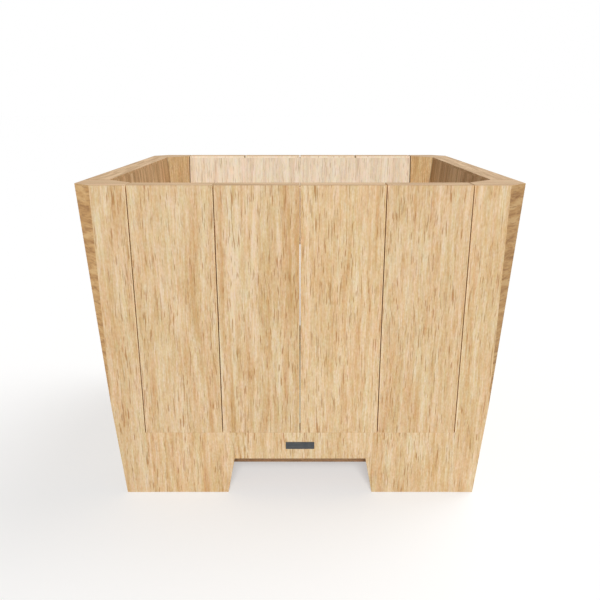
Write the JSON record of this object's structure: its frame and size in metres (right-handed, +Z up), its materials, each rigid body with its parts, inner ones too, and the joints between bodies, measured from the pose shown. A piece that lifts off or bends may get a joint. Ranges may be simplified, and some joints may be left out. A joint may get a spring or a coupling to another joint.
{
  "type": "planter box",
  "caption": "Square outward-leaning hardwood planter box with boarded walls, chamfered corner posts, a footed plinth and a slatted, drained floor.",
  "frame": {"origin": "on the ground under the middle of the planter", "axes": "+Z up, -Y out of the front wall, which carries the nameplate, +X to the right of it"},
  "size_m": [0.7998, 0.7998, 0.62],
  "materials": {
    "board_wood": "clear oiled, light",
    "post_wood": "clear oiled, light",
    "plinth_wood": "clear oiled, light",
    "rail_wood": "planed, pale, unfinished",
    "floor_wood": "sawn, darker",
    "dowel_wood": "plain",
    "galvanised_steel": "galvanised, dull",
    "stainless_steel": "satin",
    "slate_plate": "matt slate grey"
  },
  "bodies": {
    "root": {"board_dowels": "dowel_wood", "corner_post_front_left": "post_wood", "corner_post_front_right": "post_wood", "corner_post_rear_left": "post_wood", "corner_post_rear_right": "post_wood", "drip_tray": "galvanised_steel", "floor_board_1": "floor_wood", "floor_board_2": "floor_wood", "floor_board_3": "floor_wood", "floor_board_4": "floor_wood", "floor_board_5": "floor_wood", "floor_screws": "stainless_steel", "foot_dowels": "dowel_wood", "front_board_1": "board_wood", "front_board_2": "board_wood", "front_board_3": "board_wood", "front_board_4": "board_wood", "front_floor_ledger": "floor_wood", "front_foot_1": "plinth_wood", "front_foot_2": "plinth_wood", "front_plinth_rail": "plinth_wood", "front_top_rail": "rail_wood", "ledger_screws": "stainless_steel", "left_board_1": "board_wood", "left_board_2": "board_wood", "left_board_3": "board_wood", "left_board_4": "board_wood", "left_floor_ledger": "floor_wood", "left_foot_1": "plinth_wood", "left_foot_2": "plinth_wood", "left_plinth_rail": "plinth_wood", "left_top_rail": "rail_wood", "nameplate": "slate_plate", "nameplate_pins": "slate_plate", "plinth_dowels": "dowel_wood", "post_dowels": "dowel_wood", "rear_board_1": "board_wood", "rear_board_2": "board_wood", "rear_board_3": "board_wood", "rear_board_4": "board_wood", "rear_floor_ledger": "floor_wood", "rear_foot_1": "plinth_wood", "rear_foot_2": "plinth_wood", "rear_plinth_rail": "plinth_wood", "rear_top_rail": "rail_wood", "right_board_1": "board_wood", "right_board_2": "board_wood", "right_board_3": "board_wood", "right_board_4": "board_wood", "right_floor_ledger": "floor_wood", "right_foot_1": "plinth_wood", "right_foot_2": "plinth_wood", "right_plinth_rail": "plinth_wood", "right_top_rail": "rail_wood", "top_rail_screws": "stainless_steel"}
  },
  "joints": []
}
